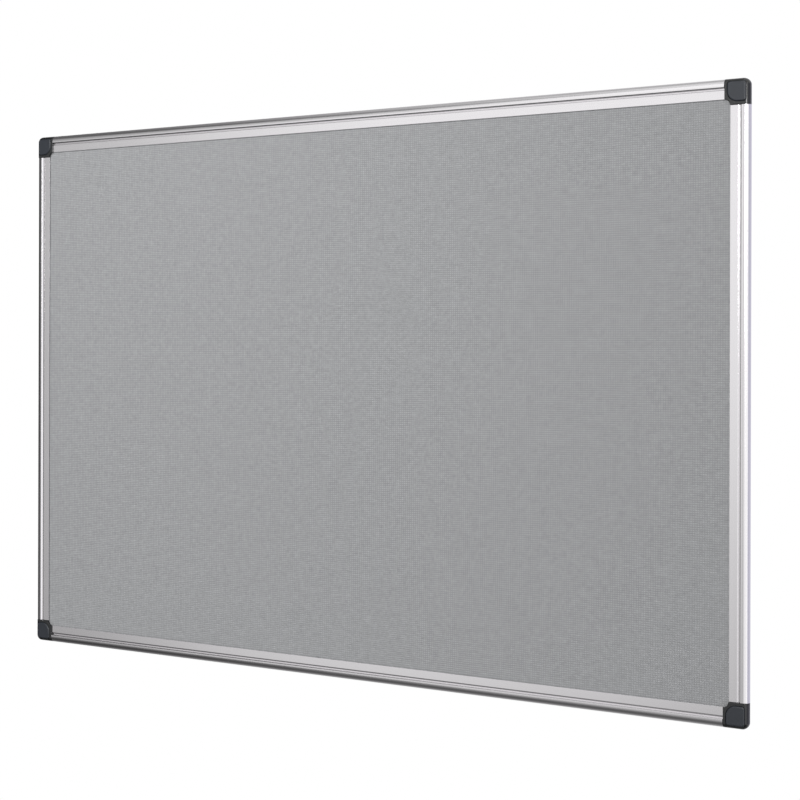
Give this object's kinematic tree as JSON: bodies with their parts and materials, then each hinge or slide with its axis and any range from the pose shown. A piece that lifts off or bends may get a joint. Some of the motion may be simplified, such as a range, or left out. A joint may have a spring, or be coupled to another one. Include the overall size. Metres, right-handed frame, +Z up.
{
  "type": "bulletin board",
  "caption": "Wall notice board: grey woven fabric over a pin core, in a slim aluminium frame with round-nosed rails and dark plastic corner brackets under snap-off cover caps.",
  "frame": {"origin": "middle of the board's box", "axes": "+X to the right as the reader sees it, +Y into the wall, +Z up"},
  "size_m": [0.9, 0.012, 0.6],
  "materials": {
    "anodised_aluminium": "satin anodised, drawn along each rail",
    "grey_fabric": "matte plain weave",
    "softboard": "raw pressed fibre",
    "backing_paper": "matte fibre sheet",
    "bracket_plastic": "satin moulded",
    "cap_plastic": "satin moulded",
    "zinc_plate": "bright zinc plate"
  },
  "bodies": {
    "board": {"fabric_face": "grey_fabric", "core_board": "softboard", "back_sheet": "backing_paper", "rail_left": "anodised_aluminium", "rail_bottom": "anodised_aluminium", "rail_right": "anodised_aluminium", "rail_top": "anodised_aluminium", "corner_bracket_bottom_left": "bracket_plastic", "screw_bottom_left_x": "zinc_plate", "screw_bottom_left_y": "zinc_plate", "corner_bracket_bottom_right": "bracket_plastic", "screw_bottom_right_x": "zinc_plate", "screw_bottom_right_y": "zinc_plate", "corner_bracket_top_right": "bracket_plastic", "screw_top_right_x": "zinc_plate", "screw_top_right_y": "zinc_plate", "corner_bracket_top_left": "bracket_plastic", "screw_top_left_x": "zinc_plate", "screw_top_left_y": "zinc_plate"},
    "cap_bottom_left": {"cover_cap_bottom_left": "cap_plastic"},
    "cap_bottom_right": {"cover_cap_bottom_right": "cap_plastic"},
    "cap_top_right": {"cover_cap_top_right": "cap_plastic"},
    "cap_top_left": {"cover_cap_top_left": "cap_plastic"}
  },
  "joints": [
    {"name": "cap_bottom_left_slide", "type": "slide", "parent": "board", "child": "cap_bottom_left", "axis": [0, -1, 0], "range_m": [0, 0.012]},
    {"name": "cap_bottom_right_slide", "type": "slide", "parent": "board", "child": "cap_bottom_right", "axis": [0, -1, 0], "range_m": [0, 0.012]},
    {"name": "cap_top_right_slide", "type": "slide", "parent": "board", "child": "cap_top_right", "axis": [0, -1, 0], "range_m": [0, 0.012]},
    {"name": "cap_top_left_slide", "type": "slide", "parent": "board", "child": "cap_top_left", "axis": [0, -1, 0], "range_m": [0, 0.012]}
  ]
}
